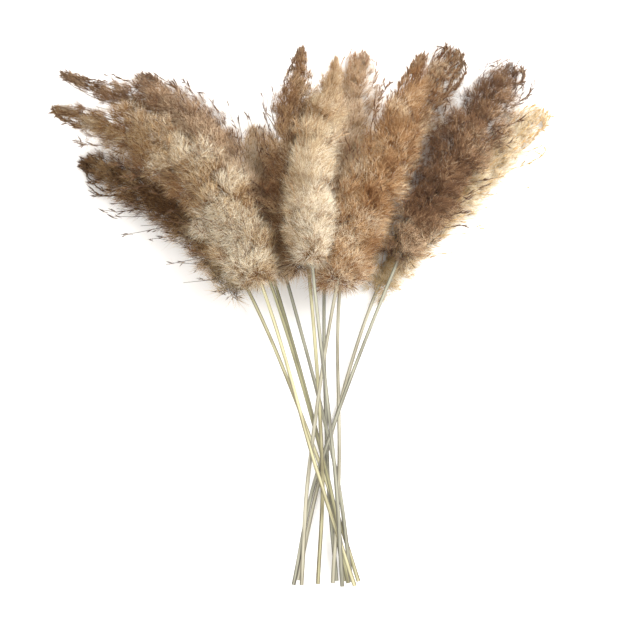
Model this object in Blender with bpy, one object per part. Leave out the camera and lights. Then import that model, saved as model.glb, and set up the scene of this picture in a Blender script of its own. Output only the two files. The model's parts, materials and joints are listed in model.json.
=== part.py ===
"""A bunch of twelve dried common reeds, cut and laid down in a fan.

Each reed is a straw stem with a feathery plume at its head. The bunch lies on a table
at z = 0, with its cut ends towards -Y and its plumes towards +Y. The reeds lie one on
another: the first in REEDS is the lowest and the last is on top.
"""
import math
import random
from collections import namedtuple

import bmesh
import bpy
import numpy as np
from mathutils import Vector
from mathutils.bvhtree import BVHTree
from mathutils.geometry import interpolate_bezier

# Driving dimensions, in millimetres. A reed runs through five places on the table:
# its cut end, where it crosses the other stems, the neck where its plume starts, the
# middle of the plume and its tip. Then come its plume's half width, the share of that
# width at its foot, and how blunt its tip is, from 0 to 1.
Reed = namedtuple("Reed", "cut cross neck middle tip half_width foot blunt colour")

PALE = (0.74, 0.62, 0.38)
BEIGE = (0.50, 0.42, 0.32)
BROWN = (0.30, 0.20, 0.13)
DARK = (0.17, 0.11, 0.07)
TAN = (0.40, 0.27, 0.15)
GOLD = (0.45, 0.29, 0.14)
CREAM = (0.66, 0.56, 0.42)
STRAW = (0.70, 0.62, 0.36)

REEDS = (
    Reed((-4, -298), (24, -172), (89, 38), (172, 134), (272, 236), 40, 0.65, 0.9, PALE),
    Reed((40, -298), (30, -172), (27, 72), (48, 183), (62, 300), 38, 1.0, 0.9, BEIGE),
    Reed((49, -298), (28, -172), (-37, 63), (-87, 186), (-184, 270), 38, 1.0, 0.7, BROWN),
    Reed((65, -298), (24, -172), (-64, 40), (-132, 116), (-244, 180), 38, 1.0, 0.5, DARK),
    Reed((57, -298), (38, -166), (-18, 50), (-41, 122), (-53, 214), 38, 1.0, 0.8, BEIGE),
    Reed((36, -298), (43, -172), (45, 42), (95, 156), (170, 304), 44, 1.0, 0.7, BROWN),
    Reed((53, -298), (27, -166), (-41, 60), (-119, 202), (-268, 272), 38, 1.0, 0.3, BROWN),
    Reed((-8, -298), (19, -172), (112, 72), (171, 174), (238, 287), 43, 0.8, 1.0, DARK),
    Reed((19, -298), (24, -172), (8, 62), (-12, 175), (3, 295), 41, 1.0, 0.4, TAN),
    Reed((1, -298), (9, -172), (42, 44), (82, 150), (136, 289), 42, 1.0, 0.3, GOLD),
    Reed((60, -298), (19, -172), (-47, 48), (-127, 165), (-273, 234), 44, 1.0, 0.4, CREAM),
    Reed((46, -298), (38, -172), (12, 70), (11, 165), (40, 284), 30, 1.0, 0.3, CREAM),
)

ROUGHNESS = 0.85

STEM_RADIUS_CUT = 2.4
STEM_RADIUS_NECK = 1.9
STEM_SIDES = 8
STEM_STATIONS = 10
STEM_SHARP_EDGE = 50
# At the neck the reed runs on from its stem this much more than it turns to its plume.
NECK_STIFFNESS = 3
# Points on each of the four stretches of a reed's smooth curve.
CURVE_POINTS = 60
# A curve handle's length, as a share of its stretch, that gives an even run.
HANDLE_SHARE = 1 / 3

PLUME_HALF_THICKNESS = 14.0
# The plume on top has nothing on it to press it, and stands fuller.
TOP_HALF_THICKNESS = 18.0
PLUME_SIDES = 8
PLUME_STATIONS = 15
PLUME_SHARP_EDGE = 35
# Share of the plume's reach, across and through it, that its dense heart fills.
HEART_WIDTH = 0.68
HEART_THICKNESS = 0.80
# The plume's outline: how wide it is, from neck to tip, as a share of its half width, for a
# pointed plume and for a blunt one. Its foot has its own share, up to the foot's end.
OUTLINE_PLACES = (0.0, 0.04, 0.12, 0.28, 0.50, 0.75, 0.92, 1.0)
POINTED_WIDTHS = (0.12, 0.45, 0.80, 1.0, 0.97, 0.68, 0.36, 0.10)
BLUNT_WIDTHS = (0.12, 0.45, 0.80, 1.0, 1.0, 0.95, 0.70, 0.20)
FOOT_END = 0.6

# A lock of the plume leans towards the tip by this share of the plume's length.
LOCK_LEAN = 0.12
LOCK_LEAN_SPREAD = 0.03
LOCK_TURN_SPREAD = 0.18
# A lock's tip stays inside the plume's outline, between these shares of its reach.
LOCK_SHORTEST = 0.86
LOCK_LONGEST = 0.97
LOCK_TIP_SCALE = 0.14
LOCK_ABOVE_TABLE = 1.0
# The root of a lock, up to this share of it, may touch what it grows from.
LOCK_ROOT_SHARE = 0.2
LOCK_SEED = 11

NECK_GAP = 0.3
LAY_GAP = 0.4
# How far the weight of a plume presses its soft underside flat on the table.
TABLE_PRESS = 5.0

# Where along its length a reed balances on the pile, how many millimetres it may climb
# from end to end, and how far its tip may then droop.
BALANCE = 0.42
STEEPEST_CLIMB = 220.0
MOST_DROOP = 500.0

# The table is searched in square cells, each as high as what lies on it.
NOTHING = -1.0
PATH_STEP = 1.0
CELL = 1.0
FIELD_HALF_SIZE = 340
MILLIMETRE = 0.001

Path = namedtuple("Path", "points share neck_index half_widths half_heights")


def clear_scene():
    for item in list(bpy.data.objects):
        bpy.data.objects.remove(item, do_unlink=True)


def smooth_points(reed):
    """Points along the reed on the table, from a smooth curve through its five places."""
    knots = [Vector(place) for place in reed[:5]]
    stem_run = (knots[2] - knots[1]).normalized()
    plume_run = (knots[3] - knots[2]).normalized()
    directions = [
        (knots[1] - knots[0]).normalized(),
        (knots[2] - knots[0]).normalized(),
        (stem_run * NECK_STIFFNESS + plume_run).normalized(),
        (knots[4] - knots[2]).normalized(),
        (knots[4] - knots[3]).normalized(),
    ]
    curve = []
    for index in range(4):
        start, end = knots[index], knots[index + 1]
        reach = (end - start).length * HANDLE_SHARE
        first_handle = start + directions[index] * reach
        last_handle = end - directions[index + 1] * reach
        curve += interpolate_bezier(start, first_handle, last_handle, end, CURVE_POINTS)[:-1]
    curve.append(knots[4])
    return np.array([tuple(point) for point in curve])


def plume_outline(reed, share):
    """The plume's half width at shares of its length, as a share of its widest."""
    pointed = np.interp(share, OUTLINE_PLACES, POINTED_WIDTHS)
    blunt = np.interp(share, OUTLINE_PLACES, BLUNT_WIDTHS)
    foot = np.interp(share, (0.0, FOOT_END), (reed.foot, 1.0))
    return (pointed + (blunt - pointed) * reed.blunt) * foot


def make_path(reed, half_thickness):
    """The reed's course in even steps, with its half width and half height at each."""
    curve = smooth_points(reed)
    runs = np.linalg.norm(np.diff(curve, axis=0), axis=1)
    travelled = np.concatenate([[0.0], np.cumsum(runs)])
    count = int(travelled[-1] / PATH_STEP) + 1
    distance = np.linspace(0.0, travelled[-1], count)
    points = np.stack([np.interp(distance, travelled, curve[:, axis]) for axis in (0, 1)], axis=1)
    neck_index = int(np.argmin(np.linalg.norm(points - np.array(reed.neck), axis=1)))
    stem_share = np.linspace(0.0, 1.0, neck_index)
    radii = STEM_RADIUS_CUT + (STEM_RADIUS_NECK - STEM_RADIUS_CUT) * stem_share
    plume_share = np.linspace(0.0, 1.0, count - neck_index)
    outline = plume_outline(reed, plume_share)
    half_widths = np.concatenate([radii, outline * reed.half_width])
    half_heights = np.concatenate([radii, outline * half_thickness])
    return Path(points, distance / travelled[-1], neck_index, half_widths, half_heights)


def footprint(path):
    """Cells of the table under the reed, with the path step and the half height of each."""
    run = np.gradient(path.points, axis=0)
    run /= np.linalg.norm(run, axis=1)[:, None]
    across = np.stack([-run[:, 1], run[:, 0]], axis=1)
    cells, steps, heights = [], [], []
    widest = path.half_widths.max()
    for offset in np.arange(-widest, widest + CELL / 2, CELL / 2):
        inside = np.abs(offset) < path.half_widths
        place = path.points[inside] + across[inside] * offset
        cells.append(np.round(place / CELL).astype(int) + FIELD_HALF_SIZE)
        steps.append(np.nonzero(inside)[0])
        rise = np.sqrt(1.0 - (offset / path.half_widths[inside]) ** 2)
        heights.append(path.half_heights[inside] * rise)
    return np.concatenate(cells), np.concatenate(steps), np.concatenate(heights)


def settle(path, needed):
    """Heights of a reed that rests on what is needed under it, its plume drooping last."""
    lowest = None
    for climb in np.arange(0.0, STEEPEST_CLIMB, 1.0):
        start = np.max(needed - climb * path.share)
        if lowest is None or start + climb * BALANCE < lowest[0]:
            lowest = (start + climb * BALANCE, start, climb)
    _, start, climb = lowest
    line = start + climb * path.share
    touching = np.nonzero(line - needed < LAY_GAP)[0]
    held = max(path.neck_index, touching.max())
    beyond = path.share[held + 1:] - path.share[held]
    if len(beyond):
        room = (line - needed)[held + 1:]
        line[held + 1:] -= min(np.min(room / beyond**2), MOST_DROOP) * beyond**2
    return line


def lay_down(paths):
    """Lays the reeds on the table one after another, and returns each one's heights."""
    size = 2 * FIELD_HALF_SIZE + 1
    pile = np.full((size, size), NOTHING)
    heights = []
    for path in paths:
        cells, steps, thickness = footprint(path)
        under = pile[cells[:, 0], cells[:, 1]]
        press = np.where(steps >= path.neck_index, TABLE_PRESS, 0.0)
        press = press * (path.half_heights[steps] / PLUME_HALF_THICKNESS) ** 2
        on_table = thickness - press
        on_pile = np.where(under > NOTHING, under + thickness + LAY_GAP, NOTHING)
        needed = np.full(len(path.share), NOTHING)
        np.maximum.at(needed, steps, np.maximum(on_table, on_pile))
        line = settle(path, needed)
        heights.append(line)
        np.maximum.at(pile, (cells[:, 0], cells[:, 1]), line[steps] + thickness)
    return heights


def section_frame(path, heights, index):
    """Centre of the reed at a path step, with the directions across and up its section."""
    last = len(heights) - 1
    before, after = max(index - 1, 0), min(index + 1, last)
    centre = Vector((*path.points[index], heights[index]))
    ahead = Vector((*path.points[after], heights[after]))
    behind = Vector((*path.points[before], heights[before]))
    run = (ahead - behind).normalized()
    across = run.cross(Vector((0, 0, 1))).normalized()
    return centre, across, across.cross(run), run


def section_point(frame, angle, half_width, half_height):
    centre, across, up, _ = frame
    return centre + across * (half_width * math.cos(angle)) + up * (half_height * math.sin(angle))


def loft(mesh, frames, half_widths, half_heights, sides):
    """Extrudes a capped ring through every section, and returns the rings of side faces."""
    angles = [2 * math.pi * side / sides for side in range(sides)]
    ring = bmesh.ops.create_circle(mesh, cap_ends=True, segments=sides, radius=1.0)["verts"]
    cap = ring[0].link_faces[0]
    rings = []
    for index, frame in enumerate(frames):
        if index:
            known = set(mesh.faces)
            out = bmesh.ops.extrude_discrete_faces(mesh, faces=[cap])
            cap = out["faces"][0]
            rings.append([face for face in mesh.faces if face not in known and face is not cap])
        for vertex, angle in zip(cap.verts, angles):
            vertex.co = section_point(frame, angle, half_widths[index], half_heights[index])
    close_holes(mesh)
    return rings


def close_holes(mesh):
    rim = [edge for edge in mesh.edges if edge.is_boundary]
    bmesh.ops.holes_fill(mesh, edges=rim, sides=0)


def finish_object(name, mesh, colour, sharp_degrees):
    """Turns the mesh, in millimetres, into a named object in metres with its material."""
    bmesh.ops.recalc_face_normals(mesh, faces=mesh.faces)
    if mesh.calc_volume(signed=True) < 0:
        bmesh.ops.reverse_faces(mesh, faces=mesh.faces)
    bmesh.ops.scale(mesh, vec=Vector((MILLIMETRE,) * 3), verts=mesh.verts)
    data = bpy.data.meshes.new(name)
    mesh.to_mesh(data)
    mesh.free()
    data.shade_smooth()
    data.set_sharp_from_angle(angle=math.radians(sharp_degrees))
    data.materials.append(plain_material(name, colour))
    item = bpy.data.objects.new(name, data)
    bpy.context.scene.collection.objects.link(item)
    return item


def plain_material(name, colour):
    material = bpy.data.materials.new(name)
    material.use_nodes = True
    shader = material.node_tree.nodes["Principled BSDF"]
    shader.inputs["Base Color"].default_value = (*colour, 1.0)
    shader.inputs["Roughness"].default_value = ROUGHNESS
    shader.inputs["Metallic"].default_value = 0.0
    return material


def make_stem(name, path, heights):
    """A round straw from the cut end to just short of the neck, slimmer towards the neck."""
    last = path.neck_index - NECK_GAP / PATH_STEP
    indices = [round(last * step / (STEM_STATIONS - 1)) for step in range(STEM_STATIONS)]
    frames = [section_frame(path, heights, index) for index in indices]
    radii = [path.half_widths[min(index, path.neck_index - 1)] for index in indices]
    mesh = bmesh.new()
    loft(mesh, frames, radii, radii, STEM_SIDES)
    return finish_object(name, mesh, STRAW, STEM_SHARP_EDGE)


def meets_plume(mesh, root, end):
    """Whether a lock drawn out from its root corners to its end corners runs into the plume."""
    centre = sum(root, Vector()) / len(root)
    ring = [corner.lerp(centre, LOCK_ROOT_SHARE).lerp(last, LOCK_ROOT_SHARE)
            for corner, last in zip(root, end)]
    count = len(ring)
    sides = [(side, (side + 1) % count, count + (side + 1) % count, count + side)
             for side in range(count)]
    lock = BVHTree.FromPolygons(ring + end, sides)
    return bool(lock.overlap(BVHTree.FromBMesh(mesh)))


def grow_lock(mesh, face, place, path, heights, draw):
    """Draws one face of the heart out to a pointed lock that leans towards the tip.

    Past the plume's tip, under the table or through the plume there is no room for a lock.
    """
    share, angle = place
    share += LOCK_LEAN + draw.uniform(-1, 1) * LOCK_LEAN_SPREAD
    angle += draw.uniform(-1, 1) * LOCK_TURN_SPREAD
    reach = draw.uniform(LOCK_SHORTEST, LOCK_LONGEST)
    if share > 1:
        return
    plume_steps = len(heights) - 1 - path.neck_index
    index = path.neck_index + round(share * plume_steps)
    tip = section_point(
        section_frame(path, heights, index),
        angle,
        path.half_widths[index] * reach,
        path.half_heights[index] * reach,
    )
    root = [vertex.co.copy() for vertex in face.verts]
    centre = face.calc_center_median()
    end = [tip + (corner - centre) * LOCK_TIP_SCALE for corner in root]
    if tip.z < LOCK_ABOVE_TABLE or meets_plume(mesh, root, end):
        return
    new_face = bmesh.ops.extrude_discrete_faces(mesh, faces=[face])["faces"][0]
    for vertex, corner in zip(new_face.verts, end):
        vertex.co = corner


def flatten_underside(mesh):
    """Cuts off what the table presses in, and closes the cut with flat faces."""
    geometry = list(mesh.verts) + list(mesh.edges) + list(mesh.faces)
    bmesh.ops.bisect_plane(
        mesh, geom=geometry, plane_co=(0, 0, 0), plane_no=(0, 0, 1), clear_inner=True)
    close_holes(mesh)


def make_plume(name, path, heights, colour, draw):
    """A dense flattened heart with pointed locks all round, pressed flat on the table."""
    plume_steps = len(heights) - 1 - path.neck_index
    shares = [step / (PLUME_STATIONS - 1) for step in range(PLUME_STATIONS)]
    indices = [path.neck_index + round(share * plume_steps) for share in shares]
    frames = [section_frame(path, heights, index) for index in indices]
    widths = [path.half_widths[index] * HEART_WIDTH for index in indices]
    thicknesses = [path.half_heights[index] * HEART_THICKNESS for index in indices]
    mesh = bmesh.new()
    rings = loft(mesh, frames, widths, thicknesses, PLUME_SIDES)
    for ring_index, ring in enumerate(rings):
        for face in ring:
            centre = face.calc_center_median()
            side, place = face_place(centre, frames, shares, ring_index, widths, thicknesses)
            if (side + ring_index) % 2 == 0:
                grow_lock(mesh, face, place, path, heights, draw)
    if min(vertex.co.z for vertex in mesh.verts) < 0:
        flatten_underside(mesh)
    return finish_object(name, mesh, colour, PLUME_SHARP_EDGE)


def face_place(centre, frames, shares, ring_index, widths, thicknesses):
    """Which side of the heart a face is on, and its share of the length and its angle."""
    origin, across, up, _ = frames[ring_index]
    offset = centre - origin
    angle = math.atan2(offset.dot(up) / thicknesses[ring_index],
                       offset.dot(across) / widths[ring_index])
    side = math.floor(angle / (2 * math.pi / PLUME_SIDES)) % PLUME_SIDES
    share = (shares[ring_index] + shares[ring_index + 1]) / 2
    return side, (share, angle)


def centre_on_origin(items):
    """Hangs all the pieces on one empty that puts the middle of their box on the origin."""
    corners = [vertex.co for item in items for vertex in item.data.vertices]
    low = Vector([min(corner[axis] for corner in corners) for axis in range(3)])
    high = Vector([max(corner[axis] for corner in corners) for axis in range(3)])
    bunch = bpy.data.objects.new("bunch", None)
    bpy.context.scene.collection.objects.link(bunch)
    middle = (low + high) / 2
    bunch.location = (-middle.x, -middle.y, -low.z)
    for item in items:
        item.parent = bunch


def main():
    clear_scene()
    draw = random.Random(LOCK_SEED)
    paths = [make_path(reed, PLUME_HALF_THICKNESS) for reed in REEDS[:-1]]
    paths.append(make_path(REEDS[-1], TOP_HALF_THICKNESS))
    all_heights = lay_down(paths)
    items = []
    for number, (reed, path, heights) in enumerate(zip(REEDS, paths, all_heights), start=1):
        items.append(make_stem(f"reed_{number:02d}_stem", path, heights))
        items.append(make_plume(f"reed_{number:02d}_plume", path, heights, reed.colour, draw))
    centre_on_origin(items)


main()
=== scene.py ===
import json
import math
from collections import namedtuple

import bpy
import numpy as np
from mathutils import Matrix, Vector
from mathutils.bvhtree import BVHTree
from mathutils.geometry import interpolate_bezier

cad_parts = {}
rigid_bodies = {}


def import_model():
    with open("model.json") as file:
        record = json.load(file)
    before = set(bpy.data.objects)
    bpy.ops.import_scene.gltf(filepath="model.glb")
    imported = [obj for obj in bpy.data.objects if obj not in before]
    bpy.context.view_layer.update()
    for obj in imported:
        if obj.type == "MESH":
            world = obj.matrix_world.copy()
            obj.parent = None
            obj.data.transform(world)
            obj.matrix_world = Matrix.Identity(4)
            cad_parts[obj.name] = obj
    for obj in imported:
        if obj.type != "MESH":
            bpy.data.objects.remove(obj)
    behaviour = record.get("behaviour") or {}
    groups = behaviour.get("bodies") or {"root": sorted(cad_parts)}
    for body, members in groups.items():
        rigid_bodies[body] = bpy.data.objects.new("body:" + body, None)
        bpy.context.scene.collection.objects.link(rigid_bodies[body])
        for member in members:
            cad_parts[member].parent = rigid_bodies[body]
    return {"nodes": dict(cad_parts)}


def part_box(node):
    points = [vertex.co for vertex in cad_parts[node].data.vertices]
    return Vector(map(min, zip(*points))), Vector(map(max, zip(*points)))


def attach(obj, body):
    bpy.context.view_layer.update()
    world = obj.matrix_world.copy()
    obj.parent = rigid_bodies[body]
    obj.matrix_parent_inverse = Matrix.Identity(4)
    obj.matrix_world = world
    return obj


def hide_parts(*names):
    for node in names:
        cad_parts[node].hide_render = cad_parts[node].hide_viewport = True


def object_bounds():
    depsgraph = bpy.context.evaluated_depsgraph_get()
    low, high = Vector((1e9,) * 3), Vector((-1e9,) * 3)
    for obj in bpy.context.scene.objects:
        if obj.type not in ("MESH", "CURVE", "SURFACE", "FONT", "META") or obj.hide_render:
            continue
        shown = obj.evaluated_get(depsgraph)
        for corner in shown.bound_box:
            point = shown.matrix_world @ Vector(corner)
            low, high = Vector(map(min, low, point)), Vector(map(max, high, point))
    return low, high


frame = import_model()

CAD_LOW, CAD_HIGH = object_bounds()

# A bunch of dried common reeds. Lengths are millimetres until a mesh is finished.
MM = 0.001
FULL_TURN = 2 * math.pi
# Nearly a full turn, for what may face any way.
ANY_TURN = 6

# The five places on the table that each reed runs through, from its cut end to its tip, its
# plume's half width, the share of that width at its foot, how blunt its tip is, the finish of
# its plume and that of its stem.
Reed = namedtuple("Reed", "places half_width foot blunt look straw")

# How a plume looks: the colours of its hair roots, dark partly as painted shade deep in the
# fluff, of its shaded, middle and light hairs and of its husks; how light it is at its foot,
# middle and tip, how much lighter its right side is painted, as painted light falling from that
# side, and how strongly its tone varies from patch to patch; its hair length, how far a tuft's
# hairs lean out in radians, the share of its length where it opens into bare twigs, the side that
# opens first (1 right, -1 left, 0 neither), its numbers of tufts before any are left out and of
# bare sprigs, and the seed of its growth.
Look = namedtuple("Look", "root shade middle light husk tones side patchy hair spread opens "
                          "open_side tufts sprigs seed")

# A stem's colours: its dark streaks, also taken by the painted shade along its sides, and its
# light ones.
Straw = namedtuple("Straw", "streak light")

YELLOW = Straw((0.10, 0.08, 0.035), (0.44, 0.42, 0.26))
OLIVE = Straw((0.06, 0.05, 0.027), (0.28, 0.27, 0.155))
GREYED = Straw((0.075, 0.068, 0.05), (0.29, 0.29, 0.225))
BLEACHED = Straw((0.13, 0.115, 0.08), (0.38, 0.365, 0.28))

PALE = Look(
    root=(0.50, 0.34, 0.16), shade=(0.62, 0.45, 0.24), middle=(0.96, 0.86, 0.60),
    light=(1.00, 0.98, 0.86), husk=(0.40, 0.25, 0.10), tones=(0.35, 0.6, 0.9),
    side=0.1, patchy=0.14, hair=14.0, spread=0.9,
    opens=0.88, open_side=1, tufts=1180, sprigs=130, seed=1)
BEIGE = Look(
    root=(0.26, 0.126, 0.045), shade=(0.42, 0.285, 0.16), middle=(0.74, 0.56, 0.37),
    light=(0.96, 0.83, 0.65), husk=(0.20, 0.115, 0.07), tones=(0.5, 0.5, 0.5),
    side=0.1, patchy=0.22, hair=17.0, spread=0.8,
    opens=0.98, open_side=1, tufts=1400, sprigs=110, seed=2)
MAUVE = Look(
    root=(0.104, 0.040, 0.015), shade=(0.25, 0.14, 0.078), middle=(0.54, 0.37, 0.225),
    light=(0.90, 0.72, 0.52), husk=(0.085, 0.045, 0.026), tones=(0.4, 0.5, 0.4),
    side=0.0, patchy=0.26, hair=15.0, spread=0.8,
    opens=0.95, open_side=1, tufts=1510, sprigs=160, seed=3)
DARK = Look(
    root=(0.052, 0.018, 0.005), shade=(0.145, 0.07, 0.028), middle=(0.64, 0.39, 0.16),
    light=(0.97, 0.78, 0.50), husk=(0.05, 0.025, 0.014), tones=(1.0, 0.5, 0.25),
    side=0.1, patchy=0.26, hair=16.0, spread=0.9,
    opens=0.9, open_side=-1, tufts=1570, sprigs=190, seed=4)
GREY = Look(
    root=(0.27, 0.126, 0.041), shade=(0.49, 0.325, 0.18), middle=(0.90, 0.69, 0.45),
    light=(1.00, 0.92, 0.74), husk=(0.13, 0.075, 0.045), tones=(1.0, 0.65, 0.6),
    side=-0.1, patchy=0.2, hair=16.0, spread=0.9,
    opens=1.0, open_side=0, tufts=1290, sprigs=50, seed=5)
TWIGGY = Look(
    root=(0.123, 0.046, 0.014), shade=(0.25, 0.13, 0.055), middle=(0.54, 0.36, 0.195),
    light=(0.88, 0.75, 0.54), husk=(0.07, 0.032, 0.015), tones=(0.5, 0.5, 0.4),
    side=0.1, patchy=0.26, hair=14.0, spread=0.75,
    opens=0.8, open_side=1, tufts=1850, sprigs=380, seed=6)
BROWN = Look(
    root=(0.109, 0.044, 0.016), shade=(0.25, 0.14, 0.072), middle=(0.54, 0.365, 0.21),
    light=(0.90, 0.73, 0.52), husk=(0.08, 0.043, 0.024), tones=(1.0, 0.5, 0.25),
    side=0.1, patchy=0.26, hair=16.0, spread=0.85,
    opens=0.93, open_side=1, tufts=1680, sprigs=210, seed=7)
UMBER = Look(
    root=(0.033, 0.011, 0.003), shade=(0.11, 0.05, 0.022), middle=(0.50, 0.29, 0.15),
    light=(1.00, 0.82, 0.57), husk=(0.055, 0.027, 0.016), tones=(0.5, 0.2, 0.25),
    side=0.16, patchy=0.24, hair=15.0, spread=0.8,
    opens=1.0, open_side=1, tufts=1850, sprigs=200, seed=8)
TAN = Look(
    root=(0.085, 0.028, 0.007), shade=(0.20, 0.098, 0.04), middle=(0.56, 0.36, 0.18),
    light=(0.94, 0.74, 0.49), husk=(0.055, 0.027, 0.016), tones=(0.85, 0.5, 0.35),
    side=0.2, patchy=0.26, hair=15.0, spread=0.8,
    opens=0.92, open_side=-1, tufts=1900, sprigs=210, seed=9)
GOLD = Look(
    root=(0.171, 0.059, 0.012), shade=(0.25, 0.138, 0.064), middle=(0.65, 0.43, 0.215),
    light=(1.00, 0.93, 0.73), husk=(0.075, 0.034, 0.015), tones=(0.7, 0.45, 0.1),
    side=0.0, patchy=0.3, hair=16.0, spread=0.9,
    opens=0.84, open_side=-1, tufts=1840, sprigs=290, seed=10)
CREAM = Look(
    root=(0.142, 0.055, 0.015), shade=(0.19, 0.10, 0.045), middle=(0.72, 0.51, 0.255),
    light=(1.00, 0.95, 0.77), husk=(0.08, 0.043, 0.024), tones=(0.75, 0.55, 0.12),
    side=0.06, patchy=0.45, hair=18.0, spread=0.95,
    opens=0.93, open_side=-1, tufts=2250, sprigs=220, seed=11)
IVORY = Look(
    root=(0.23, 0.109, 0.034), shade=(0.25, 0.16, 0.088), middle=(0.71, 0.585, 0.375),
    light=(0.94, 0.90, 0.76), husk=(0.30, 0.19, 0.10), tones=(0.9, 0.5, 0.0),
    side=0.2, patchy=0.24, hair=18.0, spread=0.8,
    opens=1.0, open_side=0, tufts=1840, sprigs=80, seed=12)

# The reeds, from the lowest to the topmost, along the same lines as their solids. Reeds 4 and
# 6 end blunter here, where their fluff stands out further than the solids' tips.
REEDS = (
    Reed(((-4, -298), (24, -172), (89, 38), (172, 134), (272, 236)), 40, 0.65, 0.9, PALE, BLEACHED),
    Reed(((40, -298), (30, -172), (27, 72), (48, 183), (62, 300)), 38, 1.0, 0.9, BEIGE, GREYED),
    Reed(((49, -298), (28, -172), (-37, 63), (-87, 186), (-184, 270)), 38, 1.0, 0.7, MAUVE, OLIVE),
    Reed(((65, -298), (24, -172), (-64, 40), (-132, 116), (-244, 180)), 38, 1.0, 0.8, DARK, YELLOW),
    Reed(((57, -298), (38, -166), (-18, 50), (-41, 122), (-53, 214)), 38, 1.0, 0.8, GREY, GREYED),
    Reed(((36, -298), (43, -172), (45, 42), (95, 156), (170, 304)), 44, 1.0, 1.0, TWIGGY, BLEACHED),
    Reed(((53, -298), (27, -166), (-41, 60), (-119, 202), (-268, 272)), 38, 1.0, 0.3, BROWN, OLIVE),
    Reed(((-8, -298), (19, -172), (112, 72), (171, 174), (238, 287)), 43, 0.8, 1.0, UMBER, GREYED),
    Reed(((19, -298), (24, -172), (8, 62), (-12, 175), (3, 295)), 41, 1.0, 0.4, TAN, YELLOW),
    Reed(((1, -298), (9, -172), (42, 44), (82, 150), (136, 289)), 42, 1.0, 0.3, GOLD, BLEACHED),
    Reed(((60, -298), (19, -172), (-47, 48), (-127, 165), (-273, 234)), 44, 1.0, 0.4, CREAM, YELLOW),
    Reed(((46, -298), (38, -172), (12, 70), (11, 165), (40, 284)), 30, 1.0, 0.3, IVORY, GREYED),
)

# Painted shade in the bunch's hollows and painted highlights on its crests: place on the table,
# radius, change of tone.
PAINTED_SHADE_AND_HIGHLIGHTS = (
    ((-166, 146), 22, -0.6), ((-98, 138), 15, -0.7), ((-150, 115), 24, -0.5),
    ((-61, 122), 13, -0.6), ((-12, 72), 12, -0.5), ((-121, 158), 16, 0.3),
    ((-117, 118), 12, -0.5), ((-12, 222), 14, -0.3), ((-112, 76), 15, -0.6),
    ((-28, 140), 18, -0.6), ((-25, 95), 18, -0.5), ((-96, 111), 24, 0.55),
    ((-84, 83), 20, 0.35), ((-90, 44), 26, -0.1), ((-146, 194), 30, 0.12),
    ((-90, 183), 26, 0.1), ((140, 128), 22, -0.5), ((132, 150), 14, -0.4),
    ((86, 120), 16, -0.5), ((77, 77), 18, -0.4), ((93, 200), 14, -0.4),
    ((100, 160), 14, -0.35), ((140, 172), 18, -0.4), ((42, 79), 14, 0.2),
    ((112, 99), 18, 0.2), ((53, 178), 20, -0.15),
)

# The course of a reed: how stiffly it leaves the stem's line at its neck, the points on each
# of its four curves, the share of a curve that a handle takes and the step along it.
NECK_STIFFNESS = 3
CURVE_POINTS = 60
HANDLE_SHARE = 1 / 3
STEP = 1.0
# The heights of the plume's solid are measured at these many places, from well outside it.
HEIGHT_STATIONS = 15
WELL_OUTSIDE = 500

# The plume's outline, from just below its neck to its tip, as a share of its half width, for
# a pointed plume and for a blunt one.
OUTLINE_PLACES = (-0.08, -0.03, 0.0, 0.05, 0.12, 0.28, 0.50, 0.72, 0.86, 0.95, 1.0)
POINTED_WIDTHS = (0.30, 0.55, 0.70, 0.85, 0.94, 0.97, 0.93, 0.72, 0.45, 0.24, 0.10)
BLUNT_WIDTHS = (0.30, 0.55, 0.70, 0.85, 0.94, 1.00, 1.00, 1.00, 0.88, 0.62, 0.26)
FOOT_END = 0.6
PLUME_HALF_THICKNESS = 14.5
# How much closer to its middle the fluff of a pointed plume draws at the tip, and the shares of
# its length where that starts and over which it grows.
TIP_NARROWING = 0.9
NARROWS_FROM = 0.7
NARROWS_OVER = 0.3

# Where on the finish's scale, from 0 to 1, the hairs, the husks and the twigs lie, and how wide
# a hair is across it, so that its faces have some area there.
UNDERCOAT_BAND = (0.0, 0.2)
HAIR_BAND = (0.04, 0.68)
HUSK_BAND = (0.74, 0.84)
TWIG_BAND = (0.90, 0.98)
BAND_WIDTH = 0.004

# Steps round and into a plume that never line up, so that what follows them spreads evenly.
GOLDEN_ANGLE = 2.4
GOLDEN_SHARE = 0.618
EVEN_ROUND = 0.7549
EVEN_DEEP = 0.5698
# The share of the places that lie on the upper side, the reach of the outermost ones, how much
# less the innermost reach and how strongly they crowd outwards.
TOP_SHARE = 0.78
OUTER_REACH = 0.82
INNER_REACH = 0.50
OUTWARD_CROWDING = 1.5
OUTLINE_SAMPLES = 200

# A tuft: its hairs, how the first and the others lean, their unevenness, how far their roots
# lie apart and how far the middle ones start out, their lengths, their unevenness in tone
# and how far each is spun about itself, over all of them.
HAIR_RADIUS = 0.145
TUFT_KINDS = 8
TUFT_HAIRS = 16
TUFT_FIRST = 0.6
TUFT_CROWDING = 0.6
TUFT_NOISE = 0.15
TUFT_ROOTS = 1.4
TUFT_DOME = 4.0
TUFT_LENGTHS = (0.55, 1.1)
TUFT_TONES = 0.26
SPRAY_SPIN = 40

# A husk, and the smaller ones that some kinds of tuft hold.
HUSK_LENGTH = 7.5
HUSK_RADIUS = 0.75
HUSK_FATTEST = 0.35
HUSK_KINDS = 3
LONE_HUSK_LENGTH = 0.75 * HUSK_LENGTH
LONE_HUSK_RADIUS = 0.6 * HUSK_RADIUS
LONE_HUSK_LEAN = (0.2, 0.6)
LONE_HUSK_START = 0.4

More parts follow.
